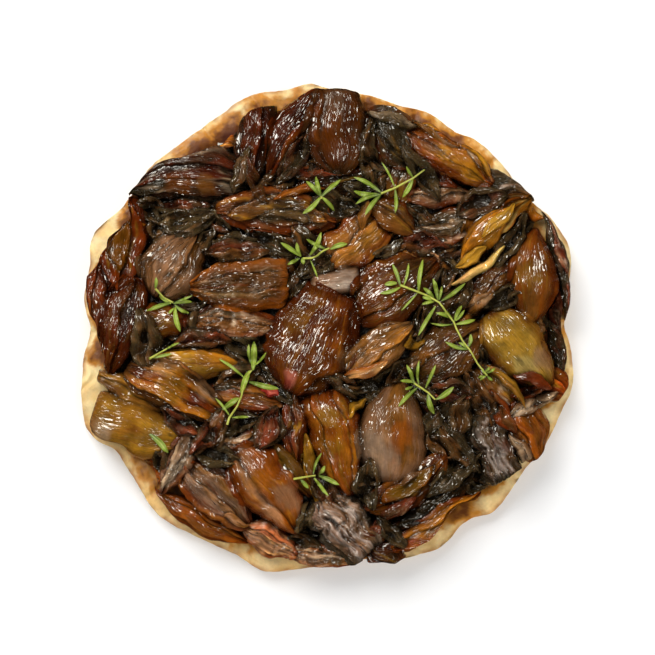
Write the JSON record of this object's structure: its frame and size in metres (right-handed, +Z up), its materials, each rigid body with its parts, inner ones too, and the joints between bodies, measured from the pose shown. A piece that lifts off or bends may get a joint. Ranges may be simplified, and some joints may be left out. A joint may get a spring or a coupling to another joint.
{
  "type": "tarte tatin",
  "caption": "Round savoury tart of caramelised shallots lying in dark caramel on a thin puff pastry base with a ragged rim.",
  "frame": {"origin": "middle of the tart's outline, on the surface that it rests on", "axes": "+Z up, through the tart's thickness; the tart is round, so +X and +Y lie flat in its plane"},
  "size_m": [0.219, 0.2174, 0.028],
  "materials": {
    "puff_pastry": "dry flaky pastry",
    "dark_caramel": "wet gloss",
    "amber_shallot": "wet gloss",
    "ochre_shallot": "wet gloss",
    "brown_shallot": "wet gloss",
    "charred_shallot": "wet gloss"
  },
  "bodies": {
    "root": {"pastry": "puff_pastry", "caramel_bed": "dark_caramel", "shallot_rim_01": "amber_shallot", "shallot_rim_02": "brown_shallot", "shallot_rim_03": "brown_shallot", "shallot_rim_04": "brown_shallot", "shallot_rim_05": "charred_shallot", "shallot_rim_06": "amber_shallot", "shallot_rim_07": "brown_shallot", "shallot_rim_08": "brown_shallot", "shallot_rim_09": "ochre_shallot", "shallot_rim_10": "ochre_shallot", "shallot_rim_11": "charred_shallot", "shallot_rim_12": "brown_shallot", "shallot_rim_13": "brown_shallot", "shallot_rim_14": "amber_shallot", "shallot_rim_15": "ochre_shallot", "shallot_rim_16": "brown_shallot", "shallot_rim_17": "brown_shallot", "shallot_rim_18": "charred_shallot", "shallot_rim_19": "charred_shallot", "shallot_rim_20": "brown_shallot", "shallot_rim_21": "charred_shallot", "shallot_rim_22": "ochre_shallot", "shallot_rim_23": "charred_shallot", "shallot_rim_24": "brown_shallot", "shallot_rim_25": "ochre_shallot", "shallot_rim_26": "brown_shallot", "shallot_rim_27": "brown_shallot", "shallot_rim_28": "amber_shallot", "shallot_rim_29": "charred_shallot", "shallot_rim_30": "ochre_shallot", "shallot_rim_31": "brown_shallot", "shallot_rim_32": "charred_shallot", "shallot_rim_33": "amber_shallot", "shallot_rim_34": "charred_shallot", "shallot_inner_01": "amber_shallot", "shallot_inner_02": "brown_shallot", "shallot_inner_03": "brown_shallot", "shallot_inner_04": "brown_shallot", "shallot_inner_05": "amber_shallot", "shallot_inner_06": "brown_shallot", "shallot_inner_07": "ochre_shallot", "shallot_inner_08": "amber_shallot", "shallot_inner_09": "charred_shallot", "shallot_inner_10": "charred_shallot", "shallot_inner_11": "brown_shallot", "shallot_inner_12": "amber_shallot", "shallot_inner_13": "ochre_shallot", "shallot_inner_14": "amber_shallot", "shallot_inner_15": "brown_shallot", "shallot_inner_16": "brown_shallot", "shallot_inner_17": "brown_shallot", "shallot_inner_18": "charred_shallot", "shallot_inner_19": "brown_shallot", "shallot_inner_20": "charred_shallot", "shallot_inner_21": "charred_shallot", "shallot_inner_22": "brown_shallot", "shallot_inner_23": "brown_shallot"}
  },
  "joints": []
}
